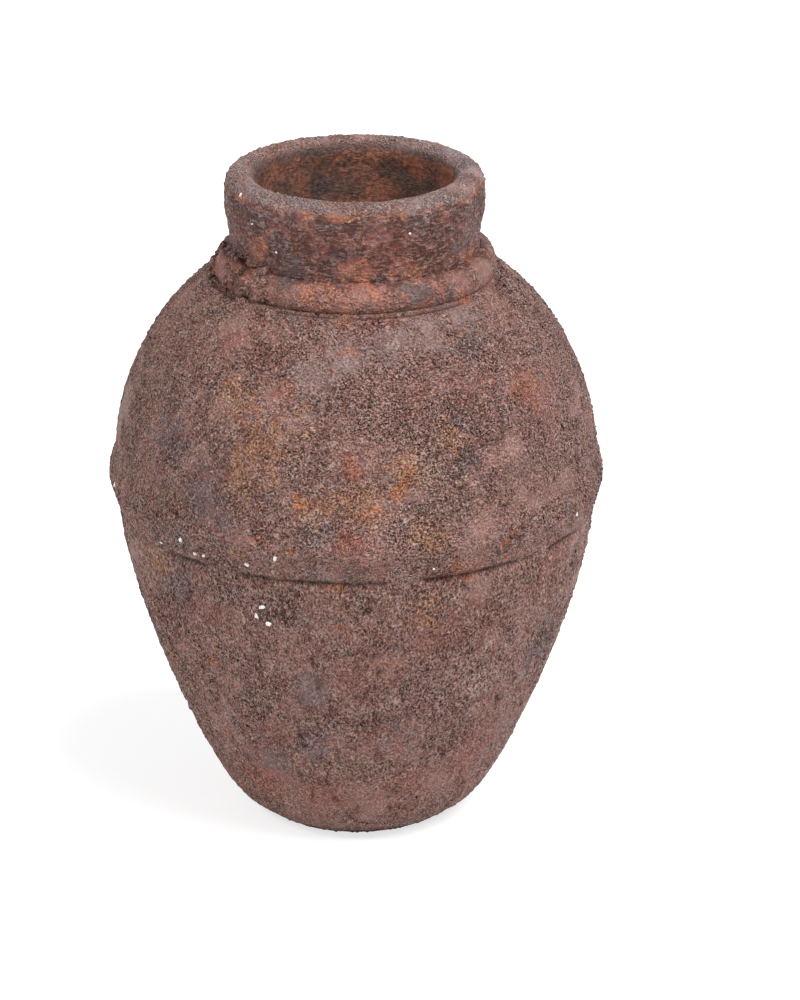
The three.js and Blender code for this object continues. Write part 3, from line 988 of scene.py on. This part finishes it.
def inner_paint(net, point):
    fine, _ = grit(net, point, INNER_GRIT)
    colour = inside_look(net, point, INSIDE_BROWN)
    # Painted shade in the low places of the grit.
    colour = net.tint(net.ramp(fine, 0.45, 0.25, 0.0, 0.5), colour, DARK_SLIP_AND_SHADE)
    return colour, net.ramp(fine, 0.2, 0.8, 0.75, 0.92), [(fine, INNER_RELIEF)]


def lime_paint(net, point):
    cloud = net.noise(point, 1.2 * MM)
    return net.tint(net.ramp(cloud, 0.55, 0.75, 0.0, 0.35), LIME, DUST_AND_HIGHLIGHT), 0.8, [(cloud, LIME_RELIEF)]


crusted_clay = clay_material("crusted_clay", crusted_paint)
scraped_clay = clay_material("scraped_clay", scraped_paint)
belt_clay = clay_material("belt_clay", belt_paint)
brushed_clay = clay_material("brushed_clay", upper_paint)
lip_clay = clay_material("lip_clay", upper_paint)
inner_clay = clay_material("inner_clay", inner_paint)
lime = clay_material("lime", lime_paint, turned=False)

wall_tree = turned_wall_tree()


def turn_section(node, clay, slot, fine, coarse=6 * MM, facets=FACETS, **relief):
    """One finished section, which stands for its CAD node."""
    sizes = {"crumb_height": CRUMB_HEIGHT, "streak_height": 0.0, "drag_height": 0.0,
             "wobble_height": WOBBLE_HEIGHT, **relief}
    outline = profile_of(node, fine, coarse)
    mesh = made_by(wall_tree, node + "_skin", outline, facets=facets, clay=clay, **sizes)
    closed_outwards(mesh)
    piece = placed(node + "_skin", mesh)
    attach(piece, "root")
    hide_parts(node)
    return piece


skins = [
    turn_section(BASE, scraped_clay, "crusted_clay", 1.3 * MM),
    turn_section(LOWER, scraped_clay, "crusted_clay", 1.65 * MM, crumb_height=1.6 * MM, drag_height=1.3 * MM),
    turn_section(BAND, belt_clay, "belt_clay", 1.3 * MM, crumb_height=1.9 * MM),
    turn_section(SHOULDER, crusted_clay, "crusted_clay", 1.3 * MM, crumb_height=1.8 * MM),
    turn_section(COLLAR, brushed_clay, "brushed_clay", 0.9 * MM, crumb_height=1.0 * MM,
                 streak_height=0.8 * MM),
    turn_section(NECK, brushed_clay, "brushed_clay", 1.0 * MM, crumb_height=0.6 * MM, streak_height=1.2 * MM),
    turn_section(RIM, lip_clay, "lip_clay", 0.9 * MM, crumb_height=1.5 * MM),
    turn_section(FLOOR_COIL, inner_clay, "inner_clay", 2 * MM, coarse=2 * MM, facets=HIDDEN_FACETS),
    turn_section(BELLY_COIL, inner_clay, "inner_clay", 2 * MM, coarse=2 * MM, facets=HIDDEN_FACETS),
]


def strewn_tree():
    """Geometry nodes that set a small broken lump on each point, as wide as the point says."""
    inputs = {"Places": "Geometry", "Fineness": "Int", "Ruggedness": "Float", "Seed": "Int",
              "Clay": "Material"}
    net = geometry_net("strewn_lumps", inputs, "Lumps")
    given = net.node("NodeGroupInput").outputs
    feeds = {"Radius": 0.5, "Subdivisions": given["Fineness"]}
    stone = net.node("GeometryNodeMeshIcoSphere", feeds).outputs["Mesh"]
    place = net.node("GeometryNodeInputPosition").outputs[0]
    broken = net.vector("MULTIPLY", net.warp(place, 0.5, 0.6), (1.1, 0.8, 0.6))
    stone = net.shaped("SetPosition", stone, Position=broken)
    turn = net.node("FunctionNodeRandomValue", {"Seed": given["Seed"]}, data_type="FLOAT_VECTOR")
    turn.inputs[1].default_value = (2 * math.pi, 2 * math.pi, 2 * math.pi)
    feeds = {"Points": given["Places"], "Instance": stone, "Rotation": turn.outputs[0],
             "Scale": net.named("width")}
    shape = net.node("GeometryNodeInstanceOnPoints", feeds).outputs[0]
    shape = net.shaped("RealizeInstances", shape)
    push = net.vector("SUBTRACT", net.warp(place, 2.2 * MM, 1.0), place)
    rugged = given["Ruggedness"]
    push = net.vector("MULTIPLY", push, net.joined(rugged, rugged, rugged))
    shape = net.shaped("SetPosition", shape, Offset=push)
    shape = net.keep(shape, "rest", place, "FLOAT_VECTOR")
    net.node("NodeGroupOutput", {0: net.shaped("SetMaterial", shape, Material=given["Clay"])})
    return net.tree


def strewn_chips():
    """The chips that are listed, and a few on the sides that don't show."""
    rng = random.Random(CHIP_SEED)
    wanted = list(CHIPS)
    for _ in range(HIDDEN_CHIPS):
        azimuth = rng.uniform(85, 275)
        level = rng.choice((rng.gauss(206 * MM, 8 * MM), rng.uniform(150 * MM, 240 * MM)))
        wanted.append((azimuth, level, rng.uniform(1.8 * MM, 3.8 * MM)))
    return wanted


walls = []
for node in (LOWER, BAND, SHOULDER, COLLAR, NECK, RIM):
    wall_mesh = skins[SECTIONS.index(node)].data
    faces = [face.vertices for face in wall_mesh.polygons]
    walls.append(BVHTree.FromPolygons([vertex.co for vertex in wall_mesh.vertices], faces))


def places_on_skin(wanted, growth, sink):
    """The lumps' middles on the finished skin, sunk into it by a share of their width."""
    points = []
    for azimuth, level, width in wanted:
        aim = skin_point(azimuth, level)
        place, normal, _, _ = min((wall.find_nearest(aim) for wall in walls), key=lambda hit: hit[3])
        points.append(place - sink * width * normal)
    mesh = bpy.data.meshes.new("places")
    mesh.from_pydata(points, [], [])
    layer = mesh.attributes.new("width", "FLOAT", "POINT")
    layer.data.foreach_set("value", [growth * width for _, _, width in wanted])
    return mesh


lump_tree = strewn_tree()


def strew(name, places, clay, fineness, ruggedness):
    sizes = {"fineness": fineness, "ruggedness": ruggedness, "seed": TURN_SEED}
    mesh = made_by(lump_tree, name, places, clay=clay, **sizes)
    piece = placed(name, mesh)
    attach(piece, "root")


chip_places = places_on_skin(strewn_chips(), growth=1.15, sink=0.1)
clod_places = places_on_skin(CLODS, growth=1.6, sink=0.3)
strew("lime_chips", chip_places, lime, fineness=1, ruggedness=0.0)
strew("crust_clods", clod_places, crusted_clay, fineness=4, ruggedness=0.8 * MM)


def seen_directly(net):
    """1 for rays from the camera, and for those that gloss or glass throws on."""
    path = net.node("ShaderNodeLightPath").outputs
    return net.most(path["Is Camera Ray"], net.most(path["Is Glossy Ray"], path["Is Transmission Ray"]))


def floor_piece():
    """A plain pale floor, lifted to white where it is seen directly, which keeps the jar's shadow."""
    side = 4.0
    mesh = bpy.data.meshes.new("floor")
    corners = [(-side, -side, 0), (side, -side, 0), (side, side, 0), (-side, side, 0)]
    mesh.from_pydata(corners, [], [(0, 1, 2, 3)])
    material = bpy.data.materials.new("floor")
    net = shader_net(material)
    point = net.node("ShaderNodeTexCoord").outputs["Object"]
    colour = net.tint(net.noise(point, 40 * MM), PALE_FLOOR, DIM_FLOOR)
    seen = seen_directly(net)
    colour = net.tint(seen, BRIGHT_FLOOR, colour)
    pale = net.node("ShaderNodeBsdfDiffuse", {"Color": colour}).outputs[0]
    lift = net.times(seen, FLOOR_LIFT)
    glow = net.node("ShaderNodeEmission", {"Color": WHITE, "Strength": lift}).outputs[0]
    both = net.node("ShaderNodeAddShader", {0: pale, 1: glow}).outputs[0]
    net.node("ShaderNodeOutputMaterial", {0: both})
    mesh.materials.append(material)
    placed("floor", mesh)


def lamp(name, towards, energy, breadth):
    light = bpy.data.lights.new(name, "SUN")
    light.energy = energy
    light.angle = math.radians(breadth)
    piece = placed(name, light)
    piece.rotation_mode = "QUATERNION"
    piece.rotation_quaternion = Vector(towards).to_track_quat("-Z", "Y")


def studio_light():
    """Even light from all round, and a broad lamp from each side in front."""
    world = bpy.data.worlds.new("studio")
    bpy.context.scene.world = world
    net = shader_net(world)
    strength = net.blend(seen_directly(net), SKY_LIGHT, 1.0)
    sky = net.node("ShaderNodeBackground", {"Color": WHITE, "Strength": strength})
    net.node("ShaderNodeOutputWorld", {0: sky.outputs[0]})
    lamp("left_lamp", (0.8, 0.6, -1.0), 0.95, 14)
    lamp("right_lamp", (-0.7, 0.55, -1.4), 3.0, 38)


def camera():
    """The photograph's view: 21 degrees above level, from 2.8 m off, through a long lens."""
    distance = 2.8
    elevation = math.radians(21)
    aim = Vector((0, 0, 203.7 * MM))
    back = Vector((0, -math.cos(elevation), math.sin(elevation)))
    lens = bpy.data.cameras.new("camera")
    lens.sensor_width = 36
    lens.lens = 168.7
    lens.shift_x = 0.0435
    lens.shift_y = -0.018
    piece = placed("camera", lens)
    piece.location = aim + distance * back
    piece.rotation_mode = "QUATERNION"
    roll = Quaternion((0, 0, 1), math.radians(-0.3))
    piece.rotation_quaternion = (-back).to_track_quat("-Z", "Y") @ roll
    bpy.context.scene.camera = piece


floor_piece()
studio_light()
camera()
bpy.context.scene.view_settings.view_transform = "Standard"
